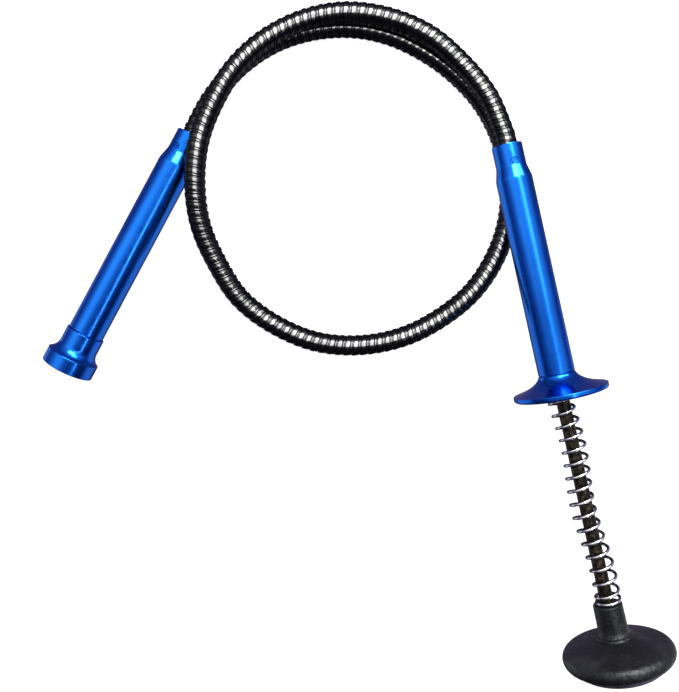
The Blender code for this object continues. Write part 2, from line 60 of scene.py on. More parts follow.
# Camera, straight down, with its lens measured against the image's long side.
CAMERA_PLACE = (-0.0049, 0.0381, 0.317)
LONG_SIDE = 692
LENS_LONG_SIDES = 810 / 692
SHIFT = (-0.5 / LONG_SIDE, -50 / LONG_SIDE)
SENSOR = 36.0

# Sizes that the CAD source sets, in millimetres.
COLLAR = 5.65
COLLAR_LENGTH = 8.3
TAPER = 4.6
TUBE = 6.75
BORE = 5.5
COUNTERBORE = 6.25
HOSE = 4.0
HOSE_SEAT = 9.5
GAP = 0.3
CABLE_HOLE = 2.9
GRIP_JOINT = 86.5
SPIGOT_START = 78.3
SPIGOT = 5.95
FLANGE_FACE = 94.7
FLANGE = 17.4
BUSH = 4.7
ROD = 2.5
ROD_HOLE = 2.8
ROD_START = 54.3
ROD_END = 188.6
ROD_BORE = 1.3
ROD_BORE_DEPTH = 43.0
NECK_TOP = 172.9
NECK = 5.3
NECK_FOOT = 184.5
BEAD = 6.9
KNOB_STATION = 191.5
KNOB = 20.2
KNOB_RIM = 3.2
PALM_FACE = 198.2
PALM = 10.5
INSERT = 4.0
INSERT_START = 177.5
INSERT_END = 190.6
HEAD_LENGTH = 100.5
BEZEL_LENGTH = 15.2
BEZEL = 7.3
BEZEL_SPIGOT = 9.0
RIM = 9.85
RIM_LENGTH = 5.4
MOUTH = 8.6
MOUTH_DEPTH = 12.5
NOSE_MOUNT = 9.15
SCREW_STATION = 6.7
SCREW_HOLE = 1.25
GRIP_SCREW_ANGLE = math.radians(-5.0)
HEAD_SCREW_ANGLE = math.radians(20.0)

SPRING_RADIUS = 4.25
SPRING_WIRE = 0.6
SPRING_OPEN_TURNS = 15
SPRING_BOW = 1.1
SPRING_CLIMB = [(-0.5, 0.0), (0.0, 0.6), (15.0, 73.6), (16.0, 76.3), (16.5, 76.4)]
SPRING_SWAY = [(0.0, 0.8), (18.0, -0.3), (41.0, 1.1), (67.0, -1.0), (77.0, -0.6)]

HINGE_STATION = -40.0
HINGE_RADIUS = 2.4
CLAW_LENGTH = 38.0
CLAW_TAIL = 1.4
CLAW_WIDTH = 2.3
CLAW_THICKNESS = 0.7
CLAW_SLOPES = (math.radians(-5.0), math.radians(13.0))
CLAW_HOOK_TURN = math.radians(100.0)
CLAW_HOOK_BEND = 0.9
CLAW_HOOK_LENGTH = 2.4

# The hose's route between the two collars, in metres.
HOSE_ROUTE = [
    (0.0560, 0.1001, 0.0140),
    (0.0500, 0.1136, 0.0140),
    (0.0400, 0.1256, 0.0143),
    (0.0280, 0.1356, 0.0147),
    (0.0135, 0.1416, 0.0152),
    (-0.0025, 0.1436, 0.0158),
    (-0.0180, 0.1406, 0.0165),
    (-0.0325, 0.1331, 0.0173),
    (-0.0440, 0.1221, 0.0182),
    (-0.0520, 0.1086, 0.0189),
    (-0.0570, 0.0946, 0.0190),
    (-0.0585, 0.0796, 0.0178),
    (-0.0570, 0.0646, 0.0140),
    (-0.0515, 0.0506, 0.0097),
    (-0.0430, 0.0371, 0.0063),
    (-0.0300, 0.0271, 0.0046),
    (-0.0145, 0.0206, 0.0041),
    (0.0020, 0.0191, 0.0041),
    (0.0185, 0.0221, 0.0041),
    (0.0330, 0.0291, 0.0041),
    (0.0460, 0.0396, 0.0041),
    (0.0550, 0.0531, 0.0041),
    (0.0600, 0.0681, 0.0041),
    (0.0605, 0.0841, 0.0041),
    (0.0570, 0.0991, 0.0041),
    (0.0500, 0.1126, 0.0041),
    (0.0400, 0.1236, 0.0041),
    (0.0285, 0.1321, 0.0041),
    (0.0150, 0.1386, 0.0041),
    (0.0005, 0.1416, 0.0043),
    (-0.0150, 0.1406, 0.0048),
    (-0.0300, 0.1356, 0.0055),
    (-0.0430, 0.1266, 0.0065),
    (-0.0535, 0.1141, 0.0078),
]
HOSE_PITCH = 3.07
HOSE_SIDES = 36
HOSE_SAMPLES = 2400


def axis_matrix(origin, along):
    """A frame whose +Z runs along the axis and whose +X points upwards."""
    along = Vector(along).normalized()
    upwards = (Vector((0, 0, 1)) - along * along.z).normalized()
    turn = Matrix((upwards, along.cross(upwards), along)).transposed().to_4x4()
    return Matrix.Translation(origin) @ turn


def mount(name):
    found = [m for m in frame["record"]["mounts"] if m["name"] == name][0]
    return Vector(found["pos_m"]), Vector(found["axis"]).normalized()


palm_point, grip_direction = mount("palm_face")
nose_point, head_direction = mount("nose_face")
GRIP = axis_matrix(palm_point - grip_direction * PALM_FACE * MM, grip_direction)
HEAD = axis_matrix(nose_point, head_direction)
HEAD = HEAD @ Matrix.Translation((-NOSE_MOUNT * MM, 0, 0))


# ---------------------------------------------------------------- materials


class Paint:
    """A node material that is built up around one Principled shader."""

    def __init__(self, name, colour, metallic, roughness):
        self.material = bpy.data.materials.new(name)
        self.material.use_nodes = True
        self.tree = self.material.node_tree
        self.shader = self.tree.nodes["Principled BSDF"]
        self.set("Base Color", (*colour, 1.0))
        self.set("Metallic", metallic)
        self.set("Roughness", roughness)
        self.place = self.tree.nodes.new("ShaderNodeTexCoord").outputs["Object"]

    def set(self, socket, value):
        self.shader.inputs[socket].default_value = value

    def link(self, output, target):
        self.tree.links.new(output, target)

    def noise(self, scale, detail):
        node = self.tree.nodes.new("ShaderNodeTexNoise")
        node.inputs["Scale"].default_value = scale
        node.inputs["Detail"].default_value = detail
        self.link(self.place, node.inputs["Vector"])
        return node.outputs["Fac"]

    def ramp(self, source, stops):
        node = self.tree.nodes.new("ShaderNodeValToRGB")
        ramp = node.color_ramp
        while len(ramp.elements) < len(stops):
            ramp.elements.new(0.5)
        for element, (position, colour) in zip(ramp.elements, stops):
            element.position = position
            element.color = (*colour, 1.0)
        self.link(source, node.inputs["Fac"])
        return node.outputs["Color"]

    def spread(self, source, low, high, start=0.3, end=0.7):
        node = self.tree.nodes.new("ShaderNodeMapRange")
        node.inputs["From Min"].default_value = start
        node.inputs["From Max"].default_value = end
        node.inputs["To Min"].default_value = low
        node.inputs["To Max"].default_value = high
        self.link(source, node.inputs["Value"])
        return node.outputs["Result"]

    def height_of(self, vector):
        """The Z part of a position or of a normal."""
        node = self.tree.nodes.new("ShaderNodeSeparateXYZ")
        self.link(vector, node.inputs["Vector"])
        return node.outputs["Z"]

    def multiply(self, first, second):
        node = self.tree.nodes.new("ShaderNodeMath")
        node.operation = "MULTIPLY"
        self.link(first, node.inputs[0])
        self.link(second, node.inputs[1])
        return node.outputs["Value"]

    def blend(self, factor, low, high):
        """The base colour goes from low to high with the factor."""
        node = self.tree.nodes.new("ShaderNodeMix")
        node.data_type = "RGBA"
        colours = [socket for socket in node.inputs if socket.type == "RGBA"]
        self.link(factor, node.inputs["Factor"])
        self.link(low, colours[0])
        self.link(high, colours[1])
        result = [socket for socket in node.outputs if socket.type == "RGBA"][0]
        self.link(result, self.shader.inputs["Base Color"])

    def tint(self, source, stops):
        self.link(self.ramp(source, stops), self.shader.inputs["Base Color"])

    def vary_roughness(self, source, low, high):
        result = self.spread(source, low, high)
        self.link(result, self.shader.inputs["Roughness"])

    def bump(self, sources, strength):
        previous = None
        for source, distance in sources:
            node = self.tree.nodes.new("ShaderNodeBump")
            node.inputs["Strength"].default_value = strength
            node.inputs["Distance"].default_value = distance * MM
            self.link(source, node.inputs["Height"])
            if previous is not None:
                self.link(previous, node.inputs["Normal"])
            previous = node.outputs["Normal"]
        self.link(previous, self.shader.inputs["Normal"])


def anodised_blue():
    """Turned and anodised aluminium: bright metal under a clear dyed film."""
    paint = Paint("anodised_blue", (0.003, 0.138, 0.7), 1.0, 0.2)
    cloud = paint.noise(60.0, 3.0)
    grain = paint.noise(1500.0, 3.0)
    paint.tint(
        cloud,
        [(0.3, (0.002, 0.123, 0.64)), (0.7, (0.004, 0.152, 0.74))],
    )
    paint.vary_roughness(paint.noise(350.0, 5.0), 0.17, 0.27)
    paint.set("Coat Weight", 0.25)
    paint.set("Coat Roughness", 0.12)
    paint.set("Sheen Weight", 0.07)
    paint.set("Sheen Roughness", 0.22)
    paint.set("Sheen Tint", (0.78, 0.82, 1.0, 1.0))
    paint.set("Specular Tint", (0.6, 0.55, 0.62, 1.0))
    paint.bump([(grain, 0.02), (cloud, 0.03)], 0.4)
    return paint.material


def gooseneck_black():
    """Black plated steel wire, glossy, its tone and roughness varying at random."""
    paint = Paint("gooseneck_black", (0.04, 0.04, 0.041), 1.0, 0.2)
    wear = paint.noise(160.0, 5.0)
    paint.tint(
        wear,
        [(0.35, (0.034, 0.034, 0.034)), (0.7, (0.062, 0.061, 0.06))],
    )
    paint.vary_roughness(paint.noise(900.0, 4.0), 0.12, 0.24)
    paint.set("Specular Tint", (0.45, 0.45, 0.45, 1.0))
    paint.bump([(paint.noise(1800.0, 2.0), 0.02)], 0.2)
    return paint.material


def spring_bright():
    """Bright wire with painted shade: flanks, underside and strands below the rod's axis get a
    dark colour, over a random mottle.
    """
    paint = Paint("spring_bright", (0.86, 0.84, 0.8), 1.0, 0.14)
    stain = paint.noise(420.0, 4.0)
    geometry = paint.tree.nodes.new("ShaderNodeNewGeometry")
    facing = paint.height_of(geometry.outputs["Normal"])
    height = paint.height_of(geometry.outputs["Position"])
    # Painted light and shade: wire faces that point up and lie above the rod's axis take the
    # bright colour, all else takes the dark one as painted shade.
    upward_facing_lit = paint.spread(facing, 0.0, 1.0, 0.15, 0.5)
    above_axis_lit = paint.spread(height, 0.0, 1.0, 0.0165, 0.02)
    painted_light_mask = paint.multiply(upward_facing_lit, above_axis_lit)
    # The lit colour and the painted shade colour, both mottled at random.
    lit_mottled_colour = paint.ramp(stain, [(0.3, (0.72, 0.68, 0.63)), (0.6, (0.93, 0.91, 0.89))])
    painted_shade_colour = paint.ramp(stain, [(0.3, (0.02, 0.016, 0.013)), (0.7, (0.06, 0.05, 0.042))])
    paint.blend(painted_light_mask, painted_shade_colour, lit_mottled_colour)
    paint.vary_roughness(stain, 0.1, 0.24)
    return paint.material


def rod_brown():
    """Browned steel with a mottled oil finish."""
    paint = Paint("rod_brown", (0.04, 0.03, 0.02), 0.6, 0.42)
    mottle = paint.noise(700.0, 6.0)
    paint.tint(
        mottle,
        [
            (0.35, (0.004, 0.003, 0.0025)),
            (0.5, (0.014, 0.009, 0.006)),
            (0.68, (0.07, 0.05, 0.032)),
        ],
    )
    paint.vary_roughness(paint.noise(500.0, 4.0), 0.32, 0.55)
    paint.set("Specular IOR Level", 0.3)
    paint.bump([(mottle, 0.05)], 0.35)
    return paint.material


def button_rubber():
    """Satin moulded rubber, slightly bloomed and scuffed."""
    paint = Paint("button_rubber", (0.035, 0.036, 0.041), 0.0, 0.42)
    bloom = paint.noise(90.0, 6.0)
    grain = paint.noise(1300.0, 4.0)
    paint.tint(
        bloom,
        [
            (0.3, (0.003, 0.003, 0.0036)),
            (0.55, (0.0055, 0.0056, 0.0066)),
            (0.75, (0.017, 0.0175, 0.02)),
        ],
    )
    paint.vary_roughness(paint.noise(300.0, 6.0), 0.28, 0.52)
    paint.set("Specular IOR Level", 0.34)
    paint.bump([(grain, 0.12), (paint.noise(480.0, 5.0), 0.45)], 0.9)
    return paint.material


def claw_black():
    paint = Paint("claw_black", (0.03, 0.03, 0.03), 0.8, 0.36)
    wear = paint.noise(300.0, 6.0)
    paint.tint(
        wear,
        [(0.35, (0.02, 0.02, 0.021)), (0.62, (0.05, 0.05, 0.05)), (0.8, (0.16, 0.15, 0.15))],
    )
    paint.vary_roughness(paint.noise(700.0, 4.0), 0.28, 0.46)
    paint.bump([(wear, 0.03)], 0.3)
    return paint.material


def plain_steel():
    paint = Paint("plain_steel", (0.12, 0.12, 0.13), 1.0, 0.3)
    wear = paint.noise(400.0, 5.0)
    paint.tint(wear, [(0.3, (0.07, 0.07, 0.08)), (0.7, (0.18, 0.18, 0.19))])
    paint.vary_roughness(wear, 0.22, 0.4)
    paint.bump([(paint.noise(1500.0, 3.0), 0.02)], 0.3)
    return paint.material


def screw_blued():
    """The set screws' heat-blued steel, close to the tubes' own colour."""
    paint = Paint("screw_blued", (0.003, 0.07, 0.34), 1.0, 0.3)
    wear = paint.noise(500.0, 4.0)
    paint.tint(wear, [(0.3, (0.003, 0.06, 0.3)), (0.7, (0.01, 0.1, 0.44))])
    paint.vary_roughness(wear, 0.24, 0.4)
    return paint.material


def brass():
    paint = Paint("brass", (0.6, 0.43, 0.17), 1.0, 0.28)
    stain = paint.noise(260.0, 5.0)
    paint.tint(stain, [(0.3, (0.42, 0.28, 0.1)), (0.7, (0.68, 0.5, 0.22))])
    paint.vary_roughness(stain, 0.2, 0.38)
    paint.bump([(paint.noise(1500.0, 3.0), 0.02)], 0.3)
    return paint.material


MATERIALS = {
    "anodised_blue": anodised_blue(),
    "gooseneck_black": gooseneck_black(),
    "claw_black": claw_black(),
    "rod_brown": rod_brown(),
    "spring_bright": spring_bright(),
    "plain_steel": plain_steel(),
    "brass": brass(),
    "button_rubber": button_rubber(),
}
SCREW_BLUED = screw_blued()


# ---------------------------------------------------------------- geometry


def link_mesh(name, build, slot_name):
    """Turn a bmesh, already in the shared frame, into a smooth shaded piece."""
    bmesh.ops.recalc_face_normals(build, faces=build.faces)
    for face in build.faces:
        face.smooth = True
    mesh = bpy.data.meshes.new(name)
    build.to_mesh(mesh)
    build.free()
    mesh.materials.append(MATERIALS[slot_name])
    piece = bpy.data.objects.new(name, mesh)
    bpy.context.scene.collection.objects.link(piece)
    return piece


def rounded(corners, steps=5):
    """A (radius, station) outline whose corners (radius, station, round) are eased."""
    points = []
    count = len(corners)
    for index, (radius, station, ease) in enumerate(corners):
        here = Vector((radius, station))
        if ease == 0.0 or index in (0, count - 1):
            points.append(here)
            continue
        before = Vector(corners[index - 1][:2]) - here
        after = Vector(corners[index + 1][:2]) - here
        start = here + before.normalized() * min(ease, before.length * 0.49)
        end = here + after.normalized() * min(ease, after.length * 0.49)
        for step in range(steps + 1):
            t = step / steps
            points.append(start * (1 - t) ** 2 + here * (2 * t * (1 - t)) + end * t**2)
    return [(point.x, point.y) for point in points]


def arc(centre, radius, start, end, count):
    """Points on a circle in the (radius, station) plane, angles in degrees."""
    points = []
    for index in range(count + 1):
        angle = math.radians(start + (end - start) * index / count)
        x = centre[0] + radius * math.cos(angle)
        points.append((x, centre[1] + radius * math.sin(angle)))
    return points


def turned(name, outline, axis, slot_name, closed=True, steps=FINE_STEPS):
    """A turned piece: the outline, in millimetres, goes all the way round the axis."""
    build = bmesh.new()
    rings = []
    for radius, station in outline:
        if radius < 1e-6:
            rings.append([build.verts.new(axis @ Vector((0, 0, station * MM)))])
            continue
        ring = []
        for step in range(steps):
            angle = 2 * math.pi * step / steps
            place = Vector((radius * math.cos(angle), radius * math.sin(angle), station))
            ring.append(build.verts.new(axis @ (place * MM)))
        rings.append(ring)
    pairs = list(zip(rings, rings[1:]))
    if closed:
        pairs.append((rings[-1], rings[0]))
    for first, second in pairs:
        for step in range(steps):
            after = (step + 1) % steps
            if len(first) == 1:
                corners = (first[0], second[step], second[after])
            elif len(second) == 1:
                corners = (first[step], second[0], first[after])
            else:
                corners = (first[step], second[step], second[after], first[after])
            build.faces.new(corners)
    piece = link_mesh(name, build, slot_name)
    weight_normals(piece)
    return piece


def weight_normals(piece):
    """Keep wide faces flat beside their small eased edges."""
    piece.data.set_sharp_from_angle(angle=math.radians(50))
    weighted = piece.modifiers.new("Normals", "WEIGHTED_NORMAL")
    weighted.mode = "FACE_AREA"
    weighted.keep_sharp = True


def smooth_curve(points, per_span):
    """A Catmull-Rom curve through the points."""
    ends = [2 * points[0] - points[1]] + points + [2 * points[-1] - points[-2]]
    line = []
    for index in range(1, len(ends) - 2):
        before, first, second, after = ends[index - 1 : index + 3]
        for step in range(per_span):
            t = step / per_span
            line.append(
                0.5
                * (
                    2 * first
                    + (second - before) * t
                    + (2 * before - 5 * first + 4 * second - after) * t**2
                    + (3 * first - before - 3 * second + after) * t**3
                )
            )
    line.append(points[-1])
    return line


def evenly_spaced(line, count):
    """The same line, with its points an equal distance apart."""
    lengths = [0.0]
    for first, second in zip(line, line[1:]):
        lengths.append(lengths[-1] + (second - first).length)
    spaced = []
    place = 0
    for index in range(count):
        target = lengths[-1] * index / (count - 1)
        while place < len(line) - 2 and lengths[place + 1] < target:
            place += 1
        span = lengths[place + 1] - lengths[place]
        spaced.append(line[place].lerp(line[place + 1], (target - lengths[place]) / span))
    return spaced


def cross_frames(line):
    """For each point: (point, side, up), turned as little as possible along the line."""
    frames = []
    side = None
    for index, point in enumerate(line):
        ahead = line[min(index + 1, len(line) - 1)] - line[max(index - 1, 0)]
        ahead.normalize()
        if side is None:
            side = ahead.cross(Vector((0, 0, 1))).normalized()
        side = (side - ahead * side.dot(ahead)).normalized()
        frames.append((point, side, side.cross(ahead)))
    return frames


def length_of(line):
    return sum((second - first).length for first, second in zip(line, line[1:]))


def swept(name, line, radius, sides, slot_name):
    """A round wire along a line, with flat ends."""
    build = bmesh.new()
    rings = []
    for point, side, up in cross_frames(line):
        ring = []
        for step in range(sides):
            angle = 2 * math.pi * step / sides
            offset = side * math.cos(angle) + up * math.sin(angle)
            ring.append(build.verts.new(point + offset * radius * MM))
        rings.append(ring)
    for first, second in zip(rings, rings[1:]):
        for step in range(sides):
            after = (step + 1) % sides
            build.faces.new((first[step], second[step], second[after], first[after]))
    build.faces.new(rings[0])
    build.faces.new(rings[-1])
    piece = link_mesh(name, build, slot_name)
    weight_normals(piece)
    return piece


# ---------------------------------------------------------------- hose

# One turn of the hose's surface as (share of the pitch, radius): a broad round wire,
# then a thin wedge wire that sits lower in its groove.
HOSE_TURN = [
    (0.00, 3.62),
    (0.02, 3.90),
    (0.045, 3.98),
    (0.08, 4.00),
    (0.28, 4.00),
    (0.49, 4.00),
    (0.525, 3.98),
    (0.55, 3.90),
    (0.57, 3.62),
    (0.63, 3.62),
    (0.65, 3.80),
    (0.68, 3.87),
    (0.74, 3.88),
    (0.81, 3.87),
    (0.84, 3.80),
    (0.86, 3.62),
    (0.93, 3.60),
]


def hose_centreline():
    rear = -HEAD_LENGTH
    seat = HOSE_SEAT - GAP
    points = [GRIP @ Vector((0, 0, seat * share * MM)) for share in (1.0, 0.5, 0.0)]
    points += [Vector(point) for point in HOSE_ROUTE]
    points += [HEAD @ Vector((0, 0, (rear + seat * s) * MM)) for s in (0.0, 0.5, 1.0)]
    return smooth_curve(points, 24)


def hose_piece(line):
    """The wound surface: each row of vertices follows the wire's own helix."""
    spaced = cross_frames(evenly_spaced(line, HOSE_SAMPLES))
    length = length_of(line)
    step_length = length / (HOSE_SAMPLES - 1)
    turns = int(length / (HOSE_PITCH * MM)) - 1
    build = bmesh.new()
    columns = []
    for turn in range(turns + 1):
        for share, radius in HOSE_TURN:
            if turn == turns and share > 0.0:
                break
            column = []
            for side_step in range(HOSE_SIDES + 1):
                along = turn + share + side_step / HOSE_SIDES
                place = min(along * HOSE_PITCH * MM / step_length, HOSE_SAMPLES - 1.001)
                low = int(place)
                blend = place - low
                point, side, up = spaced[low]
                next_point, next_side, next_up = spaced[low + 1]
                angle = 2 * math.pi * side_step / HOSE_SIDES
                outward = side.lerp(next_side, blend) * math.cos(angle)
                outward += up.lerp(next_up, blend) * math.sin(angle)
                middle = point.lerp(next_point, blend)
                column.append(middle + outward.normalized() * radius * MM)
            columns.append(column)
    per_turn = len(HOSE_TURN)
    verts = []
    for index, column in enumerate(columns):
        row = [build.verts.new(place) for place in column[:-1]]
        verts.append(row)
        last = index + per_turn
        row.append(last if last < len(columns) else None)
    for row, column in zip(verts, columns):
        last = row.pop()
        row.append(verts[last][0] if last is not None else build.verts.new(column[-1]))
    for first, second in zip(verts, verts[1:]):
        for step in range(HOSE_SIDES):
            build.faces.new((first[step], first[step + 1], second[step + 1], second[step]))
    return link_mesh("gooseneck", build, "gooseneck_black")


# ---------------------------------------------------------------- grip


def collar_corners(start):
    """Collar end, cylinder and taper, from the end inwards."""
    return [
        (HOSE + GAP + 0.15, start, 0.0),
        (COLLAR, start, 0.35),
        (COLLAR, start + COLLAR_LENGTH, 0.5),
        (TUBE, start + COLLAR_LENGTH + TAPER, 0.7),
    ]


def bore_corners(start):
    seat = start + HOSE_SEAT
    throat = seat + 1.5
    return [
        (BORE, throat + BORE - CABLE_HOLE, 0.0),
        (CABLE_HOLE, throat, 0.0),
        (CABLE_HOLE, seat, 0.0),
        (HOSE + GAP, seat, 0.0),
        (HOSE + GAP, start + 0.15, 0.0),
    ]


def tube_outline(start, joint, spigot_floor):
    """From the collar's end to the joint outside, then back up the bore."""
    corners = collar_corners(start)
    corners += [
        (TUBE, joint, 0.18),
        (COUNTERBORE, joint, 0.0),
        (COUNTERBORE, spigot_floor, 0.0),
        (BORE, spigot_floor, 0.0),
    ]
    corners += bore_corners(start)
    return rounded(corners)


def drill_screw_hole(piece, axis, station, angle):
    """The small hole that the set screw sits in."""
    place = Matrix.Rotation(angle, 4, "Z")
    place = place @ Matrix.Translation((5.4 * MM, 0.0, station * MM))
    place = axis @ place @ Matrix.Rotation(math.radians(90), 4, "Y")
    build = bmesh.new()
    bmesh.ops.create_cone(
        build,
        cap_ends=True,
        segments=40,
        radius1=SCREW_HOLE * MM,
        radius2=SCREW_HOLE * MM,
        depth=2.4 * MM,
        matrix=place,
    )
    mesh = bpy.data.meshes.new("drill")
    build.to_mesh(mesh)
    build.free()
    drill = bpy.data.objects.new("drill", mesh)
    bpy.context.scene.collection.objects.link(drill)
    piece.modifiers.remove(piece.modifiers["Normals"])
    boolean = piece.modifiers.new("Hole", "BOOLEAN")
    boolean.operation = "DIFFERENCE"
    boolean.solver = "EXACT"
    boolean.object = drill
    apply_modifiers(piece)
    bpy.data.objects.remove(drill)
    weight_normals(piece)


def apply_modifiers(piece):
    """Bake the modifiers into the mesh."""
    graph = bpy.context.evaluated_depsgraph_get()
    baked = bpy.data.meshes.new_from_object(piece.evaluated_get(graph))
    piece.modifiers.clear()
    old = piece.data
    piece.data = baked
    bpy.data.meshes.remove(old)


def make_grip_tube():
    outline = tube_outline(0.0, GRIP_JOINT, SPIGOT_START - GAP)
    piece = turned("grip_body", outline, GRIP, "anodised_blue")
    drill_screw_hole(piece, GRIP, SCREW_STATION, GRIP_SCREW_ANGLE)
    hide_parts("grip_tube")
    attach(piece, "root")


def make_flange():
    joint = GRIP_JOINT + 0.25
    face = FLANGE_FACE
    sweep = [
        Vector((TUBE - 0.02, joint + 0.15)),
        Vector((7.15, joint + 1.0)),
        Vector((7.9, joint + 1.95)),
        Vector((9.2, joint + 3.0)),
        Vector((10.9, joint + 3.95)),
        Vector((12.9, joint + 4.75)),
        Vector((15.0, joint + 5.4)),
        Vector((16.6, joint + 5.85)),
    ]
    curve = [(p.x, p.y) for p in smooth_curve(sweep, 6)]
    edge = rounded(
        [
            (*curve[-1], 0.0),
            (FLANGE, face - 2.0, 0.3),
            (FLANGE, face - 0.5, 0.3),
            (FLANGE - 0.5, face, 0.25),
            (BUSH + GAP, face, 0.0),
            (BUSH + GAP, SPIGOT_START, 0.0),
            (SPIGOT, SPIGOT_START, 0.0),
            (SPIGOT, joint, 0.0),
            (TUBE - 0.18, joint, 0.0),
        ]
    )
    piece = turned("flange", curve[:-1] + edge, GRIP, "anodised_blue")
    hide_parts("grip_flange")
    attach(piece, "root")


def make_bush():
    start = SPIGOT_START + 1.2
    outline = rounded(
        [
            (ROD_HOLE, start, 0.0),
            (BUSH, start, 0.0),
            (BUSH, FLANGE_FACE, 0.2),
            (ROD_HOLE, FLANGE_FACE, 0.25),
            (ROD_HOLE, start + 0.1, 0.0),
        ]
    )
    piece = turned("guide_bush", outline, GRIP, "rod_brown", steps=SMALL_STEPS)
    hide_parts("rod_bush")
    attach(piece, "root")


def between(table, place, eased):
    """Read a table of (place, value) pairs, in straight lines or eased curves."""
    for (start, low), (end, high) in zip(table, table[1:]):
        if place <= end:
            share = max(0.0, (place - start) / (end - start))
            if eased:
                share = share * share * (3 - 2 * share)
            return low + (high - low) * share
    return table[-1][1]


def make_spring():
    """The slack coil, which snakes a little around the rod."""
    per_turn = 56
    first = SPRING_CLIMB[0][0]
    turns = SPRING_CLIMB[-1][0] - first
    count = round(turns * per_turn)
    seat = FLANGE_FACE + SPRING_WIRE + GAP
    line = []
    for index in range(count + 1):
        turn = first + turns * index / count
        angle = 2 * math.pi * turn
        share = min(max(turn / SPRING_OPEN_TURNS, 0.0), 1.0)
        rise = between(SPRING_CLIMB, turn, False)
        rise -= SPRING_BOW * math.sin(math.pi * share)
        sideways = SPRING_RADIUS * math.sin(angle) + between(SPRING_SWAY, rise, True)
        place = Vector((SPRING_RADIUS * math.cos(angle), sideways, seat + rise))
        line.append(GRIP @ (place * MM))
    piece = swept("coil_spring", line, SPRING_WIRE, 18, "spring_bright")
    apply_modifiers(piece)
    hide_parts("return_spring")
    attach(piece, "root")
    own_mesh(piece)


# ---------------------------------------------------------------- plunger


def make_rod():
    """The rod, with the deep hole in its front end that slides over the cable."""
    outline = rounded(
        [
            (0.0, ROD_START + ROD_BORE_DEPTH, 0.0),
            (ROD_BORE, ROD_START + ROD_BORE_DEPTH, 0.0),
            (ROD_BORE, ROD_START, 0.2),
            (ROD, ROD_START, 0.3),
            (ROD, ROD_END, 0.3),
            (0.0, ROD_END, 0.0),
        ]
    )
    piece = turned("push_rod", outline, GRIP, "rod_brown", closed=False, steps=SMALL_STEPS)
    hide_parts("plunger_rod")
    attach(piece, "plunger")


def make_button():
    """A soft mushroom: domed palm side, thick rim, shallow cone, bead and neck."""
    outline = [(0.0, PALM_FACE), (PALM * 0.5, PALM_FACE)]
    outline += arc((PALM, PALM_FACE - 9.0), 9.0, 90, 58, 8)
    outline += arc((KNOB - KNOB_RIM, KNOB_STATION), KNOB_RIM, 50, -72, 14)
    foot = NECK_FOOT
    outline += rounded(
        [
            outline[-1] + (0.0,),
            (8.6, foot + 1.25, 1.4),
            (BEAD + 0.25, foot + 0.75, 0.25),
            (BEAD - 0.1, foot + 0.62, 0.12),
            (BEAD + 0.12, foot + 0.3, 0.3),
            (BEAD - 0.25, foot - 0.25, 0.3),
            (NECK + 0.55, foot - 0.75, 0.5),
            (NECK + 0.1, foot - 2.2, 1.2),
            (NECK, NECK_TOP, 0.5),
            (ROD_HOLE, NECK_TOP, 0.25),
            (ROD_HOLE, INSERT_START - GAP, 0.0),
            (INSERT + GAP, INSERT_START - GAP, 0.0),
            (INSERT + GAP, INSERT_END + GAP, 0.0),
            (0.0, INSERT_END + GAP, 0.0),
        ]
    )[1:]
    piece = turned("mushroom_button", outline, GRIP, "button_rubber", closed=False)
    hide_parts("thumb_button")
    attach(piece, "plunger")


# ---------------------------------------------------------------- head


def make_head_tube():
    joint = -BEZEL_LENGTH - 0.25
    floor = joint - BEZEL_SPIGOT - GAP
    outline = tube_outline(-HEAD_LENGTH, joint, floor)
    piece = turned("head_body", outline, HEAD, "anodised_blue")
    station = SCREW_STATION - HEAD_LENGTH
    drill_screw_hole(piece, HEAD, station, HEAD_SCREW_ANGLE)
    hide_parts("head_tube")
    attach(piece, "root")


def make_nose():
    flare = 4.6
    flare_top = RIM - 0.3
    flare_end = -RIM_LENGTH - 0.15
    sweep = math.degrees(math.acos(1 - (flare_top - BEZEL) / flare))
    centre = (BEZEL + flare, flare_end - flare * math.sin(math.radians(sweep)))
    outline = rounded(
        [
            (MOUTH, -0.3, 0.0),
            (MOUTH + 0.35, 0.0, 0.15),
            (RIM, 0.0, 0.3),
            (RIM, -RIM_LENGTH, 0.22),
            (flare_top, flare_end, 0.0),
        ]
    )
    outline += arc(centre, flare, 180 - sweep, 180, 14)[1:]
    outline += rounded(
        [
            outline[-1] + (0.0,),
            (BEZEL, -BEZEL_LENGTH, 0.25),
            (SPIGOT, -BEZEL_LENGTH, 0.0),
            (SPIGOT, -BEZEL_LENGTH - BEZEL_SPIGOT, 0.0),
            (BORE, -BEZEL_LENGTH - BEZEL_SPIGOT, 0.0),
            (BORE, -MOUTH_DEPTH, 0.4),
            (MOUTH - 0.1, -0.45, 0.0),
        ]
    )[1:]
    piece = turned("nose_ring", outline, HEAD, "anodised_blue")
    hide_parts("nose_bezel")
    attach(piece, "root")


def claw_line():
    """The claw's centre line from its tail to its hook, as (radius, station)."""
    stations = 48
    step = CLAW_LENGTH / stations
    low, high = CLAW_SLOPES
    place = Vector((0.0, 0.0))
    points = [Vector((-CLAW_TAIL * math.sin(low), -CLAW_TAIL * math.cos(low))), place]
    for index in range(stations):
        slope = low + (high - low) * (index + 0.5) / stations
        place = place + Vector((math.sin(slope), math.cos(slope))) * step
        points.append(place)
    bends = 12
    step = CLAW_HOOK_BEND * CLAW_HOOK_TURN / bends
    for index in range(bends):
        slope = high - CLAW_HOOK_TURN * (index + 0.5) / bends
        place = place + Vector((math.sin(slope), math.cos(slope))) * step
        points.append(place)
    slope = high - CLAW_HOOK_TURN
    points.append(place + Vector((math.sin(slope), math.cos(slope))) * CLAW_HOOK_LENGTH)
    return points


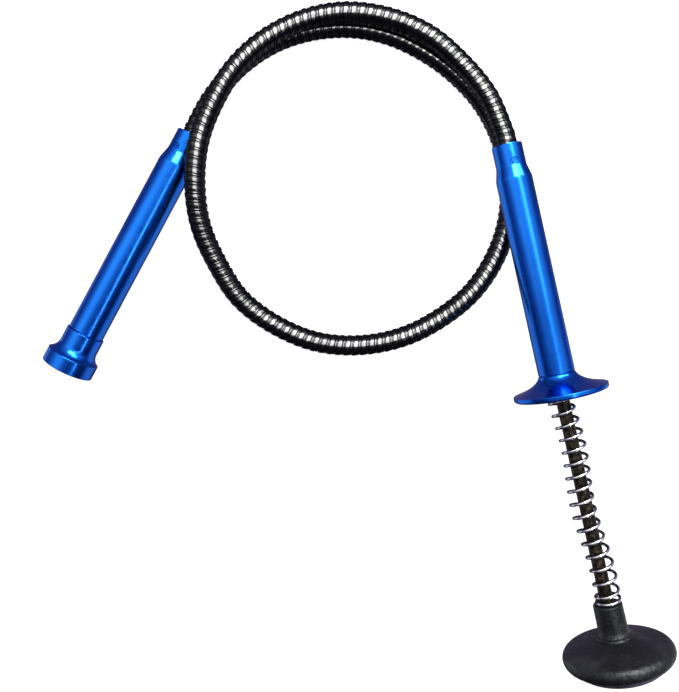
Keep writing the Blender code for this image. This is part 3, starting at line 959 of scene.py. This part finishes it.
def make_claw(index):
    place = Matrix.Rotation(math.radians(45 + 90 * index), 4, "Z")
    place = HEAD @ place @ Matrix.Translation((HINGE_RADIUS * MM, 0, HINGE_STATION * MM))
    build = bmesh.new()
    rows = []
    for radius, station in claw_line():
        row = []
        for share in (-0.5, 0.5):
            corner = Vector((radius, CLAW_WIDTH * share, station))
            row.append(build.verts.new(place @ (corner * MM)))
        rows.append(row)
    for (left, right), (next_left, next_right) in zip(rows, rows[1:]):
        build.faces.new((left, right, next_right, next_left))
    piece = link_mesh(f"claw_strip_{index + 1}", build, "claw_black")
    solidify = piece.modifiers.new("Thickness", "SOLIDIFY")
    solidify.thickness = CLAW_THICKNESS * MM
    solidify.offset = 0.0
    solidify.use_even_offset = True
    bevel = piece.modifiers.new("Edges", "BEVEL")
    bevel.width = 0.12 * MM
    bevel.segments = 3
    bevel.limit_method = "ANGLE"
    bevel.angle_limit = math.radians(50)
    apply_modifiers(piece)
    weight_normals(piece)
    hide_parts(f"claw_{index + 1}")
    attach(piece, f"claw_{index + 1}")


# ---------------------------------------------------------------- setting


def make_camera():
    data = bpy.data.cameras.new("camera")
    data.sensor_width = SENSOR
    data.lens = LENS_LONG_SIDES * SENSOR
    data.shift_x, data.shift_y = SHIFT
    data.clip_start = 0.01
    camera = bpy.data.objects.new("camera", data)
    camera.location = CAMERA_PLACE
    bpy.context.scene.collection.objects.link(camera)
    bpy.context.scene.camera = camera


def make_floor():
    build = bmesh.new()
    bmesh.ops.create_grid(build, x_segments=1, y_segments=1, size=3.0)
    mesh = bpy.data.meshes.new("table_top")
    build.to_mesh(mesh)
    build.free()
    floor = bpy.data.objects.new("table_top", mesh)
    bpy.context.scene.collection.objects.link(floor)
    paint = Paint("table_white", (0.3, 0.3, 0.3), 0.0, 0.6)
    paint.set("Specular IOR Level", 0.2)
    paint.set("Emission Color", (0.96, 0.97, 1.0, 1.0))
    paint.set("Emission Strength", 0.98)
    mesh.materials.append(paint.material)
    floor.visible_glossy = False


def make_backdrop():
    """A pale dome behind everything, seen only by the camera."""
    build = bmesh.new()
    bmesh.ops.create_uvsphere(build, u_segments=64, v_segments=32, radius=2.8)
    mesh = bpy.data.meshes.new("backdrop")
    build.to_mesh(mesh)
    build.free()
    dome = bpy.data.objects.new("backdrop", mesh)
    bpy.context.scene.collection.objects.link(dome)
    paint = Paint("backdrop_white", (0.0, 0.0, 0.0), 0.0, 1.0)
    paint.set("Emission Color", (1.0, 1.0, 1.0, 1.0))
    paint.set("Emission Strength", 1.0)
    mesh.materials.append(paint.material)
    dome.visible_diffuse = False
    dome.visible_glossy = False
    dome.visible_transmission = False
    dome.visible_shadow = False


def area_light(name, place, target, size, radiance, turn=0.0):
    data = bpy.data.lights.new(name, "AREA")
    data.shape = "RECTANGLE"
    data.size, data.size_y = size
    data.energy = radiance * math.pi * size[0] * size[1]
    light = bpy.data.objects.new(name, data)
    light.location = place
    aim = Vector(target) - Vector(place)
    light.rotation_euler = aim.to_track_quat("-Z", "Y").to_euler()
    light.rotation_euler.rotate_axis("Z", math.radians(turn))
    bpy.context.scene.collection.objects.link(light)
    return light


# Bright patches of the room: direction, inner and outer edge in degrees, strength.
ROOM_PATCHES = [
    ((-0.5, 0.24, 0.83), 8, 26, 0.5),
    ((0.34, 0.24, 0.91), 3, 14, 3.5),
    ((0.52, 0.62, 0.58), 3, 15, 9.0),
    ((0.75, -0.4, -0.5), 10, 42, 0.75),
    ((-0.8, -0.2, -0.5), 10, 42, 0.75),
]


def direction_patch(tree, coordinate, direction, inner, outer, strength):
    """A soft round patch of the room, its edges given in degrees."""
    dot = tree.nodes.new("ShaderNodeVectorMath")
    dot.operation = "DOT_PRODUCT"
    dot.inputs[1].default_value = Vector(direction).normalized()
    tree.links.new(coordinate, dot.inputs[0])
    ramp = tree.nodes.new("ShaderNodeMapRange")
    ramp.interpolation_type = "SMOOTHSTEP"
    ramp.inputs["From Min"].default_value = math.cos(math.radians(outer))
    ramp.inputs["From Max"].default_value = math.cos(math.radians(inner))
    ramp.inputs["To Max"].default_value = strength
    tree.links.new(dot.outputs["Value"], ramp.inputs["Value"])
    return ramp.outputs["Result"]


def slope_ramp(tree, source, span, values):
    ramp = tree.nodes.new("ShaderNodeMapRange")
    ramp.interpolation_type = "SMOOTHSTEP"
    ramp.inputs["From Min"].default_value = span[0]
    ramp.inputs["From Max"].default_value = span[1]
    ramp.inputs["To Min"].default_value = values[0]
    ramp.inputs["To Max"].default_value = values[1]
    tree.links.new(source, ramp.inputs["Value"])
    return ramp.outputs["Result"]


def combine(tree, operation, first, second):
    node = tree.nodes.new("ShaderNodeMath")
    node.operation = operation
    tree.links.new(first, node.inputs[0])
    tree.links.new(second, node.inputs[1])
    return node.outputs["Value"]


def make_lights(hose):
    """A strong softbox and a narrow strip overhead, in a room lighter on one side."""
    area_light("key_softbox", (0.13, 0.66, 0.88), (0.0, 0.06, 0.0), (0.56, 0.42), 24.0)
    area_light("side_strip", (0.46, -0.36, 1.0), (0.46, -0.36, 0.0), (0.09, 0.66), 8.0, 16.0)
    overhead = area_light("hose_light", (0.08, 0.33, 1.0), (0.08, 0.33, 0.0), (0.75, 1.0), 20.0)
    receivers = bpy.data.collections.new("lit_by_hose_light")
    receivers.objects.link(hose)
    overhead.light_linking.receiver_collection = receivers
    world = bpy.data.worlds.new("room")
    bpy.context.scene.world = world
    world.use_nodes = True
    tree = world.node_tree
    background = tree.nodes["Background"]
    coordinate = tree.nodes.new("ShaderNodeTexCoord").outputs["Generated"]
    split = tree.nodes.new("ShaderNodeSeparateXYZ")
    tree.links.new(coordinate, split.inputs["Vector"])
    across = slope_ramp(tree, split.outputs["Y"], (-0.36, 0.14), (0.17, 1.0))
    height = slope_ramp(tree, split.outputs["Z"], (-0.05, 0.85), (0.25, 1.0))
    strength = combine(tree, "MULTIPLY", across, height)
    for direction, inner, outer, amount in ROOM_PATCHES:
        patch = direction_patch(tree, coordinate, direction, inner, outer, amount)
        strength = combine(tree, "ADD", strength, patch)
    tree.links.new(strength, background.inputs["Strength"])
    tint = tree.nodes.new("ShaderNodeValToRGB")
    tint.color_ramp.elements[0].color = (0.75, 0.6, 1.12, 1.0)
    tint.color_ramp.elements[1].color = (0.92, 1.08, 1.0, 1.0)
    glow = slope_ramp(tree, strength, (0.1, 1.1), (0.0, 1.0))
    tree.links.new(glow, tint.inputs["Fac"])
    tree.links.new(tint.outputs["Color"], background.inputs["Color"])


def finish_cad_nodes():
    """The small pieces that keep their CAD shape get the finished materials."""
    slots = {s["node"]: s["material_slot"] for s in frame["record"]["subparts"]}
    for name, node in frame["nodes"].items():
        node.data.materials.clear()
        blued = name.endswith("_set_screw")
        node.data.materials.append(SCREW_BLUED if blued else MATERIALS[slots[name]])


make_camera()
centreline = hose_centreline()
hose = hose_piece(centreline)
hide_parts("gooseneck_hose")
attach(hose, "root")
make_grip_tube()
make_flange()
make_bush()
make_spring()
make_rod()
make_button()
make_head_tube()
make_nose()
for claw_index in range(4):
    make_claw(claw_index)
finish_cad_nodes()
make_floor()
make_backdrop()
make_lights(hose)
bpy.context.scene.view_settings.view_transform = "Standard"
